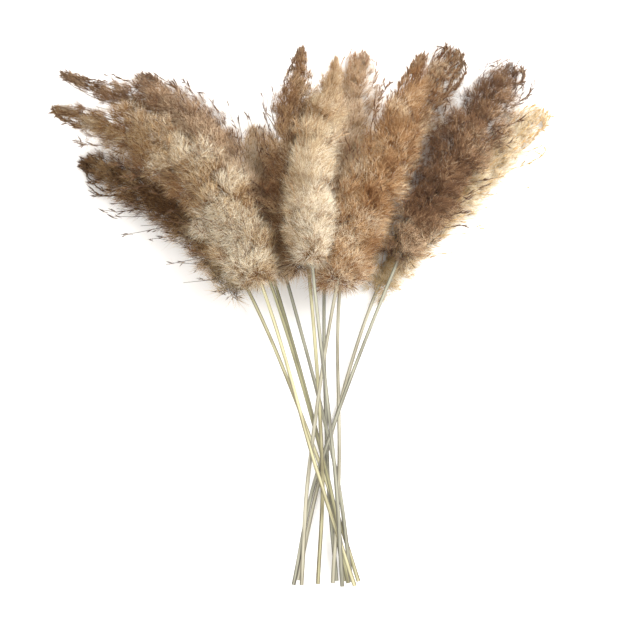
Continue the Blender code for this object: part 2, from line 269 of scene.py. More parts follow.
# A sprig: two husks, one above the other, and fine hairs that start round their foot.
SPRIG_HAIRS = 10
SPRIG_HAIR_LEAN = (0.1, 0.9)
SPRIG_HAIR_ROOTS = 4
SPRIG_HAIR_LENGTH = 0.8
SPRIG_HAIR_LENGTHS = (0.4, 0.9)
SPRIG_HAIR_RADIUS = 0.8 * HAIR_RADIUS
SPRIG_HAIR_TONE = 0.1
SPRIG_HAIR_TONES = 0.25
SPRIG_HUSKS = 2
SPRIG_HUSK_LEAN = (0.05, 0.2)
SPRIG_HUSK_APART = 3.0
SPRIG_HUSK_LENGTHS = (0.8, 1.2)
SPRIG_HUSK_TONES = 0.1

# Side branches: the lowest one's place and the share of the plume that carries them, how far
# they lean towards the tip, reach out and twist, and how they curve on the way.
BRANCHES = 80
BRANCH_POINTS = 5
BRANCH_FOOT = 0.02
BRANCH_ZONE = 0.93
BRANCH_LEAN = 0.22
BRANCH_LEANS = (0.7, 1.2)
BRANCH_REACHES = (0.9, 1.3)
BRANCH_TWIST = 0.3
BRANCH_RISE = 1.2
BRANCH_SWELL = 0.85
# How much further the twigs reach on the side that opens first.
OPEN_REACH = 0.35
# A twig's radius at its root, the share of it that is lost at its end, and the twigs' tones.
TWIG_RADIUS = 0.5
TWIG_TAPER = 0.5
TWIG_TONES = (0.2, 0.8)
# The plume's own middle stalk.
STALK_RADIUS = 0.9
STALK_END = 0.97
STALK_REACH = 0.001
# Any direction that no twig follows.
ASKEW = (0.3, 0.2, 0.9)

# The undercoat's hairs, which fill the fluff's depth with painted shade in their roots' dark
# colours: how deep they start, the place ahead that they point to, their unevenness, their
# lengths, those as a share near the tip, and their tones.
UNDERCOAT_HAIRS = 1250
UNDERCOAT_RADIUS = 0.5
UNDERCOAT_DEPTHS = (0.1, 0.8)
UNDERCOAT_STEP = 0.06
UNDERCOAT_RISE = 0.15
UNDERCOAT_NOISE = 0.3
UNDERCOAT_LENGTHS = (10, 18)
UNDERCOAT_NEAR_TIP = ((0.7, 1.0), (1.0, 0.6))
UNDERCOAT_TONES = (0.1, 0.7)

# Patches of tone: how fast they follow each other along a plume, and how the seed shifts them.
PATCH_PACES = (23, 41, 9)
PATCH_SHIFTS = (1.7, 3.1, 5.3)
# Painted shade and light by depth: how much lighter hairs are painted that lie further out, and
# darker those further in, about a middle reach; and by how much tufts differ.
DEPTH_PAINTED_SHADE = 0.35
DEPTH_MIDDLE = 0.75
TONE_NOISE = 0.13
TONE_LIMITS = (0.04, 0.96)

# Where a plume opens: how much earlier on its open side, over what share of its length, what
# share of its tufts is gone there, and the share of them that is kept towards its very tip.
OPENS_EARLIER = 0.15
OPENS_OVER = 0.3
OPENS_BY = 0.7
KEPT_NEAR_TIP = ((0.9, 1.0), (1.0, 0.5))
# The share of its tufts that a plume keeps where another plume lies on it, and how far the
# other one has to reach past a tuft.
COVERED_SHARE = 0.2
COVER_MARGIN = 9.0

# Tufts gather in clumps, and grow out from a point under each clump's middle.
CLUMPS = 56
CLUMP_NOISE = 4
CLUMP_PULL = 0.2
CLUMP_BACK = 0.03
CLUMP_DEPTH = 0.45
CLUMP_TONE = 0.3
# How far clumps stand out, as a share of the plume, and how far each one is tousled, less so
# in height.
CLUMP_BULGE = (0.74, 1.16)
CLUMP_TOUSLE = 0.55
TOUSLE_SIDES = (1, 1, 0.35)

# A tuft points partly outwards, mostly along the plume and partly away from its clump's root.
# At the plume's foot, along turns back towards the stem.
POINTS_OUT = 0.25
POINTS_ALONG = 1.0
POINTS_AWAY = 0.4
POINTS_ANYHOW = 0.38
OUT_FROM = 0.5
ALONG_STEP = 0.06
ALONG_RISE = 1.1
ALONG_AT_FOOT = ((-0.05, 0.02), (-0.8, 1.0))
PLACE_NOISE = 1.2
TUFT_SIZES = (0.8, 1.15)
SIZE_NEAR_TIP = ((0.6, 1.0), (1.0, 0.7))
# How much longer the hairs are at the foot, on the side that opens first.
FOOT_WISPS = 0.5
FOOT_WISPS_END = 0.3

# Sprigs stand mostly where the plume opens and on its sides. Then: where along a branch they
# start, the share of it that they stand on, how they crowd, how far ahead along it they
# point, how unevenly they do, how far they stand off it and their sizes.
SPRIG_OPENS_OVER = 0.2
SPRIG_FEWEST = 0.16
SPRIG_MIDDLE = 0.4
SPRIG_OPEN_SIDE = 1.2
SPRIG_FROM = 0.35
SPRIG_OVER = 0.65
SPRIG_CROWDING = 0.8
SPRIG_AHEAD = 0.08
SPRIG_NOISE = 0.3
SPRIG_SHIFT = 0.8
SPRIG_SIZES = (0.7, 1.1)

# The heights over which hairs give way, above the table and above the topmost solid.
TABLE_PRESS = 4.0
TOP_PRESS = 8.0

# The plume's finish: its skin, the places on its scale where the root's colour ends, where the
# hair's own has grown in, where husks start and where twigs do, and how much darker or lighter
# than their colours the ends of the scale's parts are; the darkening at the very root of a hair
# is painted shade deep in the fluff.
HAIR_ROUGHNESS = 0.65
HAIR_GLOSS = 0.25
ROOT_END = 0.08
GROWN_IN = 0.28
HUSK_START = 0.72
TWIG_START = 0.88
ROOT_PAINTED_SHADE = 0.6
HUSK_DARKEST = 0.7
HUSK_LIGHTEST = 1.6
TWIG_LIGHTEST = 1.8

# The stem: its radii at the cut and at the neck, its sides and rings, the share of its radius
# that is wall, the share of its length that is hollow here and the angle that stays a sharp edge.
STEM_RADIUS_CUT = 2.4
STEM_RADIUS_NECK = 1.9
STEM_SIDES = 14
STEM_RINGS = 32
STEM_WALL = 0.3
STEM_HOLLOW = 0.03
STEM_EDGE = math.radians(50)
# How far apart the stems lie in the straw's grain.
STEM_GRAIN_APART = 400

# Straw: its grain's scale across and along and its detail, fine and broad, in equal shares, the
# grain's dark and light ends, how much painted shade darkens the straw along its sides and from
# where on, and how deep the grain is.
STRAW_ROUGHNESS = 0.42
GRAINS = (((1400, 1400, 18), 3.0), ((300, 300, 24), 2.0))
GRAIN_SHARE = 0.5
GRAIN_ENDS = (0.32, 0.54)
SIDE_PAINTED_SHADE = 0.28
SIDE_START = 0.4
GRAIN_STRENGTH = 0.35
GRAIN_DEPTH = 0.2

# The studio, in metres: a pale floor, light from all round and two lamps that face the bunch.
FLOOR_SIZE = 6
FLOOR_COLOUR = (0.9, 0.9, 0.9, 1)
FLOOR_ROUGHNESS = 0.9
ROOM_COLOUR = (1.0, 0.965, 0.925, 1)
ROOM_LIGHT = 1.35
Lamp = namedtuple("Lamp", "name place power size")
LAMPS = (Lamp("key", (1.0, 1.0, 1.6), 80, 1.6), Lamp("fill", (-1.2, -0.6, 1.5), 8, 1.4))
LAMP_COLOUR = (1.0, 0.975, 0.94)
CAMERA_PLACE = (0.021, -0.0056, 2.45)
CAMERA_LENS = 121
CAMERA_SENSOR = 36

# A reed's course in space, step by step, with the directions across, up and along it, the step
# at its neck and the plume's half width and half height there.
Course = namedtuple("Course", "centre across up run neck half_widths half_heights")

# A made shape: its points, its triangles, and for each point its tone and its place on
# the finish's scale.
Shape = namedtuple("Shape", "points faces scale")


def deselect():
    for item in bpy.data.objects:
        item.select_set(False)


def unit(vectors):
    return vectors / np.maximum(np.linalg.norm(vectors, axis=-1, keepdims=True), 1e-9)


def sampled(values, index):
    """Values along a reed's course, read between its steps."""
    steps = np.arange(len(values))
    if values.ndim == 1:
        return np.interp(index, steps, values)
    return np.stack([np.interp(index, steps, column) for column in values.T], axis=-1)


def smooth_plan(places):
    """Points of the reed's smooth course on the table."""
    knots = [Vector(place) for place in places]
    stem_run = (knots[2] - knots[1]).normalized()
    plume_run = (knots[3] - knots[2]).normalized()
    directions = [
        (knots[1] - knots[0]).normalized(),
        (knots[2] - knots[0]).normalized(),
        (stem_run * NECK_STIFFNESS + plume_run).normalized(),
        (knots[4] - knots[2]).normalized(),
        (knots[4] - knots[3]).normalized(),
    ]
    curve = []
    for index in range(4):
        start, end = knots[index], knots[index + 1]
        reach = (end - start).length * HANDLE_SHARE
        first_handle = start + directions[index] * reach
        last_handle = end - directions[index + 1] * reach
        curve += interpolate_bezier(start, first_handle, last_handle, end, CURVE_POINTS)[:-1]
    curve.append(knots[4])
    return np.array([tuple(point) for point in curve])


def stepped(curve):
    """A curve on the table with its points at even steps."""
    runs = np.linalg.norm(np.diff(curve, axis=0), axis=1)
    travelled = np.concatenate([[0.0], np.cumsum(runs)])
    count = int(travelled[-1] / STEP) + 1
    distance = np.linspace(0.0, travelled[-1], count)
    return np.stack([np.interp(distance, travelled, column) for column in curve.T], axis=1)


def node_tree(*nodes):
    """The CAD solids' triangles in millimetres, to measure them with."""
    corners, faces = [], []
    for node in nodes:
        mesh = frame["nodes"][node].data
        start = len(corners)
        corners += [vertex.co / MM for vertex in mesh.vertices]
        faces += [tuple(index + start for index in face.vertices) for face in mesh.polygons]
    return BVHTree.FromPolygons(corners, faces)


def middle_height(tree, x, y):
    """Half way between the solid's underside and its top at a place on the table."""
    above = tree.ray_cast(Vector((x, y, WELL_OUTSIDE)), Vector((0, 0, -1)))[0]
    below = tree.ray_cast(Vector((x, y, -WELL_OUTSIDE)), Vector((0, 0, 1)))[0]
    if above is None or below is None:
        return None
    return (above.z + below.z) / 2


def lying_heights(plan, neck, cut_height, neck_height, plume):
    """Heights along the reed: its stem's straight line, and the sag of its plume's solid."""
    count = len(plan)
    line = cut_height + (neck_height - cut_height) * np.arange(count) / neck
    stations = np.linspace(neck, count - 1, HEIGHT_STATIONS)[1:-1].astype(int)
    found = [(index, middle_height(plume, *plan[index])) for index in stations]
    found = np.array([pair for pair in found if pair[1] is not None])
    beyond = (found[:, 0] - neck) / (count - 1 - neck)
    powers = np.stack([beyond**2, beyond**3], axis=1)
    off_line = found[:, 1] - line[found[:, 0].astype(int)]
    sag = np.linalg.lstsq(powers, off_line, rcond=None)[0]
    past = np.clip((np.arange(count) - neck) / (count - 1 - neck), 0, None)
    return line + sag[0] * past**2 + sag[1] * past**3


def follow_reed(number, reed):
    """The reed's course in space: its plan, with the heights at which its solids lie."""
    plan = stepped(smooth_plan(reed.places))
    neck = int(np.argmin(np.linalg.norm(plan - np.array(reed.places[2]), axis=1)))
    low, high = (np.array(corner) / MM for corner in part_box(f"reed_{number:02d}_stem"))
    stem_plan = plan[:neck]
    shift = (low + high)[:2] / 2 - (stem_plan.min(axis=0) + stem_plan.max(axis=0)) / 2
    plan = plan + shift
    heights = lying_heights(plan, neck, low[2] + STEM_RADIUS_CUT, high[2] - STEM_RADIUS_NECK,
                            node_tree(f"reed_{number:02d}_plume"))
    centre = np.column_stack([plan, heights])
    run = np.gradient(centre, axis=0)
    run /= np.linalg.norm(run, axis=1)[:, None]
    across = np.cross(run, (0.0, 0.0, 1.0))
    across /= np.linalg.norm(across, axis=1)[:, None]
    up = np.cross(across, run)

    share = (np.arange(len(plan)) - neck) / (len(plan) - 1 - neck)
    widths = np.array(POINTED_WIDTHS) * (1 - reed.blunt) + np.array(BLUNT_WIDTHS) * reed.blunt
    foot = np.interp(share, (0.0, FOOT_END), (reed.foot, 1.0))
    near_tip = np.clip((share - NARROWS_FROM) / NARROWS_OVER, 0, 1)
    drawn_in = TIP_NARROWING * (1 - reed.blunt) * near_tip
    outline = np.interp(share, OUTLINE_PLACES, widths) * foot * (1 - drawn_in)
    return Course(centre, across, up, run, neck, outline * reed.half_width,
                  outline * PLUME_HALF_THICKNESS)


def plume_places(course, share, angle, reach):
    """Places in the plume, by share of its length, angle round it and reach from its middle."""
    last = len(course.centre) - 1
    index = course.neck + share * (last - course.neck)
    past_tip = np.maximum(index - last, 0)[..., None] * STEP
    index = np.clip(index, 0, last)
    wide = (sampled(course.half_widths, index) * np.cos(angle) * reach)[..., None]
    high = (sampled(course.half_heights, index) * np.sin(angle) * reach)[..., None]
    middle = sampled(course.centre, index) + course.run[-1] * past_tip
    return middle + sampled(course.across, index) * wide + sampled(course.up, index) * high


def even_places(course, count):
    """Places spread evenly over the plume: share of its length, angle round it and reach."""
    widths = course.half_widths
    own_share = (np.arange(len(widths)) - course.neck) / (len(widths) - 1 - course.neck)
    fine = np.linspace(OUTLINE_PLACES[1], 1.0, OUTLINE_SAMPLES)
    grown = np.cumsum(np.interp(fine, own_share, widths))
    order = np.arange(count)
    share = np.interp((order + 0.5) / count, grown / grown[-1], fine)
    around = order * EVEN_ROUND % 1
    top = around < TOP_SHARE
    aside = np.where(top, around / TOP_SHARE, (around - TOP_SHARE) / (1 - TOP_SHARE)) * 2 - 1
    angle = np.arccos(aside) * np.where(top, 1, -1)
    reach = OUTER_REACH - INNER_REACH * (order * EVEN_DEEP % 1) ** OUTWARD_CROWDING
    return share, angle, reach


def taken_shape():
    """The active object's points and triangles, as arrays, and the object removed."""
    item = bpy.context.active_object
    mesh = item.data
    points = np.array([tuple(vertex.co) for vertex in mesh.vertices])
    faces = np.array([tuple(face.vertices) for face in mesh.polygons])
    bpy.data.objects.remove(item, do_unlink=True)
    return points, faces


def spike(root):
    """A three-sided spike, one unit long and one unit in radius, its root open or closed."""
    deselect()
    bpy.ops.mesh.primitive_cone_add(
        vertices=3, radius1=1, radius2=0, depth=1, end_fill_type=root, location=(0, 0, 0.5))
    bpy.ops.object.transform_apply()
    return taken_shape()


def hair_shape():
    """A slim hair, open at its root, which lies hidden in the fluff."""
    return spike("NOTHING")


def husk_shape():
    """A pointed husk, fattest at a third of its length."""
    points, faces = spike("TRIFAN")
    ring = np.linalg.norm(points[:, :2], axis=1) > 0.5
    points[ring, 2] = HUSK_FATTEST
    return points, faces


def turned(points, direction, spin):
    """Points of a shape along Z, turned to point along a direction and spun about it."""
    z = unit(direction)
    helper = np.where(np.abs(z[..., 2:3]) < 0.9, (0.0, 0.0, 1.0), (1.0, 0.0, 0.0))
    x = unit(np.cross(helper, z))
    y = np.cross(z, x)
    cos, sin = np.cos(spin)[..., None], np.sin(spin)[..., None]
    x, y = x * cos + y * sin, y * cos - x * sin
    frames = np.stack([x, y, z], axis=-2)
    return np.einsum("pk,...kc->...pc", points, frames)


def joined(shapes):
    points, faces, scale = [], [], []
    count = 0
    for shape in shapes:
        points.append(shape.points)
        faces.append(shape.faces + count)
        scale.append(shape.scale)
        count += len(shape.points)
    return Shape(np.concatenate(points), np.concatenate(faces), np.concatenate(scale))


def placed(points, faces, scale):
    """Many copies of one shape, whose points are already placed, made one shape."""
    copies, size = points.shape[:2]
    all_faces = faces[None] + (np.arange(copies) * size)[:, None, None]
    return Shape(points.reshape(-1, 3), all_faces.reshape(-1, 3), scale.reshape(-1, 2))


def sprays(base, directions, roots, lengths, radius, band, tones):
    """Copies of a base shape that stand out from their roots, each of its own length."""
    points, faces = base
    spin = np.linspace(0, SPRAY_SPIN, len(directions))
    radii = np.full(len(directions), radius)
    sized = points[None] * np.stack([radii, radii, lengths], axis=-1)[:, None]
    frames = turned(np.eye(3), unit(directions), spin)
    stood = np.einsum("npk,nkc->npc", sized, frames) + roots[:, None]
    along = np.clip(points[:, 2], 0, 1)
    v = band[0] + (band[1] - band[0]) * along
    u = tones[:, None] + BAND_WIDTH * points[:, 0][None]
    scale = np.stack([u, np.broadcast_to(v, u.shape)], axis=-1)
    return placed(stood, faces, scale)


def many(shape, place, axis, size, light, rng):
    """Copies of a made shape at many places, each turned to its axis and of its own size."""
    frames = turned(np.eye(3), axis, rng.uniform(0, FULL_TURN, len(place)))
    frames = frames * size[:, None, None]
    points = np.einsum("pk,nkc->npc", shape.points, frames) + place[:, None]
    scale = shape.scale[None] + np.stack([light, 0 * light], axis=-1)[:, None]
    return placed(points, shape.faces, scale)


def lean_directions(lean, turn):
    """Unit directions that lean from Z by an angle, each turned round it."""
    return np.stack([np.sin(lean) * np.cos(turn), np.sin(lean) * np.sin(turn), np.cos(lean)],
                    axis=-1)


def tuft(hair, length, spread, rng):
    """A starburst of silky hairs, pointing along Z."""
    order = np.arange(TUFT_HAIRS)
    lean = spread * ((order + TUFT_FIRST) / TUFT_HAIRS) ** TUFT_CROWDING
    directions = lean_directions(lean, order * GOLDEN_ANGLE + rng.uniform(0, ANY_TURN))
    directions += rng.normal(0, TUFT_NOISE, directions.shape)
    roots = rng.normal(0, TUFT_ROOTS, (TUFT_HAIRS, 3))
    roots[:, 2] += TUFT_DOME * (1 - lean / spread)
    lengths = length * rng.uniform(*TUFT_LENGTHS, TUFT_HAIRS)
    return sprays(hair, directions, roots, lengths, HAIR_RADIUS, HAIR_BAND,
                  rng.normal(0, TUFT_TONES, TUFT_HAIRS))


def lone_husk(husk, length, rng):
    """One dark husk among the outer hairs of a tuft."""
    direction = lean_directions(rng.uniform(*LONE_HUSK_LEAN, 1), rng.uniform(0, ANY_TURN, 1))
    root = direction * length * LONE_HUSK_START
    return sprays(husk, direction, root, LONE_HUSK_LENGTH * np.ones(1), LONE_HUSK_RADIUS,
                  HUSK_BAND, np.zeros(1))


def sprig(hair, husk, length, rng):
    """A bare sprig along Z: two husks, with fine hairs round their foot."""
    turns = np.arange(SPRIG_HAIRS) * GOLDEN_ANGLE
    directions = lean_directions(rng.uniform(*SPRIG_HAIR_LEAN, SPRIG_HAIRS), turns)
    roots = np.zeros((SPRIG_HAIRS, 3))
    roots[:, 2] = rng.uniform(-SPRIG_HAIR_ROOTS, SPRIG_HAIR_ROOTS, SPRIG_HAIRS)
    lengths = length * rng.uniform(*SPRIG_HAIR_LENGTHS, SPRIG_HAIRS)
    tones = rng.normal(SPRIG_HAIR_TONE, SPRIG_HAIR_TONES, SPRIG_HAIRS)
    hairs = sprays(hair, directions, roots, lengths, SPRIG_HAIR_RADIUS, HAIR_BAND, tones)

    turns = np.arange(SPRIG_HUSKS) * GOLDEN_ANGLE
    directions = lean_directions(rng.uniform(*SPRIG_HUSK_LEAN, SPRIG_HUSKS), turns)
    roots = np.zeros((SPRIG_HUSKS, 3))
    roots[:, 2] = np.arange(SPRIG_HUSKS) * SPRIG_HUSK_APART
    lengths = HUSK_LENGTH * rng.uniform(*SPRIG_HUSK_LENGTHS, SPRIG_HUSKS)
    tones = rng.normal(0, SPRIG_HUSK_TONES, SPRIG_HUSKS)
    husks = sprays(husk, directions, roots, lengths, HUSK_RADIUS, HUSK_BAND, tones)
    return joined([hairs, husks])


def patches(share, angle, seed):
    """Soft light and dark patches over the plume, between -1 and 1."""
    middling, short, long = (share * pace for pace in PATCH_PACES)
    first, second, third = (seed * shift for shift in PATCH_SHIFTS)
    return (np.sin(middling + first + 2 * np.sin(angle + seed))
            + np.sin(short - 2 * angle + second)
            + np.sin(long + 3 * angle + third)) / 3


def tone(look, place, share, angle, reach, rng):
    """How light the hairs are at places in the plume, painted light and shade included."""
    # Painted light on the plume's right side where side is above 0, painted shade there where below.
    light = np.interp(share, (0, 0.5, 1), look.tones) + look.side * np.cos(angle) * reach
    light += look.patchy * patches(share, angle, look.seed)
    # Painted shade on the hairs deep in the fluff, painted light on the outer ones, and random tone.
    light += DEPTH_PAINTED_SHADE * (reach - DEPTH_MIDDLE) + rng.normal(0, TONE_NOISE, len(share))
    # Painted shade in the hollows and painted highlights on the crests of the bunch.
    for middle, radius, change in PAINTED_SHADE_AND_HIGHLIGHTS:
        away = np.linalg.norm(place[:, :2] - middle, axis=1) / radius
        light += change * np.exp(-away**2)
    return np.clip(light, *TONE_LIMITS)


def grow_branches(look, rng):
    """The side branches: for each one its start, side, lean towards the tip, reach and twist."""
    order = np.arange(BRANCHES)
    start = BRANCH_FOOT + BRANCH_ZONE * (order + rng.uniform(0, 1, BRANCHES)) / BRANCHES
    aside = (order * GOLDEN_SHARE % 1) * 2 - 1
    angle = np.arccos(aside) * np.where(order % 2, 1, -1)
    lean = np.minimum(BRANCH_LEAN * rng.uniform(*BRANCH_LEANS, BRANCHES), 1 - start)
    reach = rng.uniform(*BRANCH_REACHES, BRANCHES)
    reach += OPEN_REACH * np.clip(look.open_side * np.cos(angle), 0, 1)
    twist = rng.uniform(-BRANCH_TWIST, BRANCH_TWIST, BRANCHES)
    return start, angle, lean, reach, twist


def on_branch(course, branch, t):
    """Places along branches, with the share of the plume's length and the angle at each."""
    start, angle, lean, reach, twist = branch
    share = start + lean * t**BRANCH_RISE
    turned_angle = angle + twist * t
    place = plume_places(course, share, turned_angle, reach * t**BRANCH_SWELL)
    return place, share, turned_angle


def twigs(course, branches, radius, rng):
    """Thin three-sided branches that taper to their ends."""
    t = np.linspace(0, 1, BRANCH_POINTS)[None]
    columns = [values[:, None] for values in branches]
    place, _, _ = on_branch(course, columns, t)
    direction = unit(np.gradient(place, axis=1))
    helper = unit(np.cross(direction, ASKEW))
    other = np.cross(direction, helper)
    size = radius * (1 - TWIG_TAPER * t)[..., None]
    rings = []
    for turn in (0, FULL_TURN / 3, 2 * FULL_TURN / 3):
        rings.append(place + size * (helper * math.cos(turn) + other * math.sin(turn)))
    points = np.stack(rings, axis=2).reshape(len(place), -1, 3)
    faces = []
    for ring in range(BRANCH_POINTS - 1):
        for side in range(3):
            a, b = ring * 3 + side, ring * 3 + (side + 1) % 3
            faces += [(a, b, b + 3), (a, b + 3, a + 3)]
    last = 3 * (BRANCH_POINTS - 1)
    faces += [(0, 2, 1), (last, last + 1, last + 2)]
    v = TWIG_BAND[0] + (TWIG_BAND[1] - TWIG_BAND[0]) * np.repeat(t[0], 3)
    u = rng.uniform(*TWIG_TONES, len(place))[:, None]
    u = u + np.tile(BAND_WIDTH * np.arange(3), BRANCH_POINTS)
    scale = np.stack([u, np.broadcast_to(v, u.shape)], axis=-1)
    return placed(points, np.array(faces), scale)


def undercoat(hair, course, rng):
    """Coarse dark hairs, painted shade under the fluff where the roots of the tufts crowd together.
    """
    share, angle, reach = even_places(course, UNDERCOAT_HAIRS)
    reach = reach * rng.uniform(*UNDERCOAT_DEPTHS, UNDERCOAT_HAIRS)
    roots = plume_places(course, share, angle, reach)
    ends = plume_places(course, share + UNDERCOAT_STEP, angle, reach + UNDERCOAT_RISE)
    directions = unit(unit(ends - roots) + rng.normal(0, UNDERCOAT_NOISE, roots.shape))
    lengths = rng.uniform(*UNDERCOAT_LENGTHS, UNDERCOAT_HAIRS)
    lengths = lengths * np.interp(share, *UNDERCOAT_NEAR_TIP)
    return sprays(hair, directions, roots, lengths, UNDERCOAT_RADIUS, UNDERCOAT_BAND,
                  rng.uniform(*UNDERCOAT_TONES, UNDERCOAT_HAIRS))


def covered(place, cover):
    """Which places have another plume lying over them and all round them."""
    hidden = np.full(len(place), cover is not None)
    up = Vector((0, 0, 1))
    margin = COVER_MARGIN
    for x, y in ((0, 0), (margin, 0), (-margin, 0), (0, margin), (0, -margin)):
        for index in np.nonzero(hidden)[0]:
            point = Vector(place[index]) + Vector((x, y, 0))
            hidden[index] = cover.ray_cast(point, up)[0] is not None
    return hidden


def kept_tufts(look, place, share, angle, cover, rng):
    """Which tufts grow: fewer where the plume opens, at its tip and under other plumes."""
    earlier = OPENS_EARLIER * look.open_side * np.cos(angle)
    openness = (share + earlier - look.opens) / OPENS_OVER
    chance = 1 - OPENS_BY * np.clip(openness, 0, 1)
    chance *= np.where(covered(place, cover), COVERED_SHARE, 1)
    chance *= np.interp(share, *KEPT_NEAR_TIP)
    return rng.uniform(0, 1, look.tufts) < chance


def fluff(look, course, cover, hair, husk, rng):
    """Tufts all over the plume, in clumps that burst outwards."""
    share, angle, reach = even_places(course, look.tufts)
    place = plume_places(course, share, angle, reach)
    kept = kept_tufts(look, place, share, angle, cover, rng)
    share, angle, reach, place = share[kept], angle[kept], reach[kept], place[kept]

    clump_share, clump_angle, _ = even_places(course, CLUMPS)
    top = plume_places(course, clump_share, clump_angle, np.full(CLUMPS, OUTER_REACH))
    top += rng.normal(0, CLUMP_NOISE, top.shape)
    under = plume_places(course, clump_share - CLUMP_BACK, clump_angle,
                         np.full(CLUMPS, CLUMP_DEPTH))
    away = np.linalg.norm(place[:, None] - top[None], axis=2)
    clump = np.argmin(away, axis=1)
    place = place + CLUMP_PULL * (top[clump] - place)
    bulge = rng.uniform(*CLUMP_BULGE, CLUMPS)[clump][:, None]
    middle = plume_places(course, share, angle, np.zeros(len(share)))
    place = middle + (place - middle) * bulge
    tousle = (CLUMP_TOUSLE * rng.normal(0, 1, (CLUMPS, 3)) * TOUSLE_SIDES)[clump]

    outward = unit(place - plume_places(course, share, angle, reach * OUT_FROM))
    step = ALONG_STEP * np.interp(share, *ALONG_AT_FOOT)
    along = unit(plume_places(course, share + step, angle, reach * ALONG_RISE) - place)
    burst = unit(place - under[clump])
    axis = unit(POINTS_OUT * outward + POINTS_ALONG * along + POINTS_AWAY * burst + tousle
                + POINTS_ANYHOW * rng.normal(0, 1, place.shape))
    place = place + rng.normal(0, PLACE_NOISE, place.shape)
    clump_tone = rng.normal(0, CLUMP_TONE * look.patchy, CLUMPS)
    light = tone(look, place, share, angle, reach, rng) + clump_tone[clump]
    light = np.clip(light, *TONE_LIMITS)
    size = rng.uniform(*TUFT_SIZES, len(share)) * np.interp(share, *SIZE_NEAR_TIP)
    at_foot = np.clip((FOOT_WISPS_END - share) / FOOT_WISPS_END, 0, 1)
    size *= 1 + FOOT_WISPS * (at_foot * np.clip(look.open_side * np.cos(angle), 0, 1))
    kinds = rng.integers(0, TUFT_KINDS, len(share))
    parts = []
    for kind in range(TUFT_KINDS):
        here = kinds == kind
        shape = tuft(hair, look.hair, look.spread, rng)
        if kind < HUSK_KINDS:
            shape = joined([shape, lone_husk(husk, look.hair, rng)])
        parts.append(many(shape, place[here], axis[here], size[here], light[here], rng))
    return parts


def bare_sprigs(look, course, branches, hair, husk, rng):
    """Husks and short hairs on the twigs that stand out of the fluff, most near the tip."""
    start, angle, lean = branches[:3]
    side = np.cos(angle)
    ends = start + lean + OPENS_EARLIER * look.open_side * side
    weight = np.clip((ends - look.opens) / SPRIG_OPENS_OVER, SPRIG_FEWEST, 1)
    weight *= SPRIG_MIDDLE + np.abs(side)
    weight *= SPRIG_OPEN_SIDE + look.open_side * side
    picks = rng.choice(BRANCHES, look.sprigs, p=weight / weight.sum())
    chosen = [values[picks] for values in branches]
    t = SPRIG_FROM + SPRIG_OVER * rng.uniform(0, 1, look.sprigs) ** SPRIG_CROWDING
    place, share, angle = on_branch(course, chosen, t)
    ahead, _, _ = on_branch(course, chosen, t + SPRIG_AHEAD)
    axis = unit(unit(ahead - place) + SPRIG_NOISE * rng.normal(0, 1, place.shape))
    place = place + rng.normal(0, SPRIG_SHIFT, place.shape)
    light = tone(look, place, share, angle, t, rng)
    size = rng.uniform(*SPRIG_SIZES, look.sprigs)
    kinds = rng.integers(0, TUFT_KINDS, look.sprigs)
    parts = []
    for kind in range(TUFT_KINDS):
        here = kinds == kind
        shape = sprig(hair, husk, look.hair * SPRIG_HAIR_LENGTH, rng)
        parts.append(many(shape, place[here], axis[here], size[here], light[here], rng))
    return parts


def plume_shape(look, course, cover, hair, husk):
    """All of a plume: its undercoat, its branches, tufts of hairs all over it and bare sprigs."""
    rng = np.random.default_rng(look.seed)
    branches = grow_branches(look, rng)
    stalk = np.array([[0.0], [0.0], [STALK_END], [STALK_REACH], [0.0]])
    parts = [undercoat(hair, course, rng), twigs(course, branches, TWIG_RADIUS, rng),
             twigs(course, stalk, STALK_RADIUS, rng)]
    parts += fluff(look, course, cover, hair, husk, rng)
    parts += bare_sprigs(look, course, branches, hair, husk, rng)
    return joined(parts)


def pressed(points):
    """Hairs near the table are pressed together above it, and the top ones lie down softly."""
    z = points[:, 2]
    z = np.where(z < TABLE_PRESS, TABLE_PRESS * np.exp(z / TABLE_PRESS - 1), z)
    top = CAD_HIGH.z / MM
    z = np.where(z > top, top + TOP_PRESS * (1 - np.exp((top - z) / TOP_PRESS)), z)
    return np.column_stack([points[:, :2], z])


def mesh_object(name, shape):
    """A finished object of a made shape, with its finish's scale as a UV map."""
    points = pressed(shape.points) * MM
    mesh = bpy.data.meshes.new(name)
    mesh.vertices.add(len(points))
    mesh.vertices.foreach_set("co", points.astype(np.float32).ravel())
    faces = shape.faces.astype(np.int32)
    mesh.loops.add(faces.size)
    mesh.loops.foreach_set("vertex_index", faces.ravel())
    mesh.polygons.add(len(faces))
    mesh.polygons.foreach_set("loop_start", np.arange(0, faces.size, 3, dtype=np.int32))
    mesh.update(calc_edges=True)
    layer = mesh.uv_layers.new(name="OFBake")
    scale = np.clip(shape.scale, 0.0, 1.0)[faces.ravel()]
    layer.data.foreach_set("uv", scale.astype(np.float32).ravel())
    mesh.shade_smooth()
    item = bpy.data.objects.new(name, mesh)
    bpy.context.scene.collection.objects.link(item)
    return item


def new_finish(name, roughness):
    """A new material, with its nodes, links and shader."""
    material = bpy.data.materials.new(name)
    material.use_nodes = True
    nodes, links = material.node_tree.nodes, material.node_tree.links
    shader = nodes["Principled BSDF"]
    shader.inputs["Roughness"].default_value = roughness
    return material, nodes, links, shader


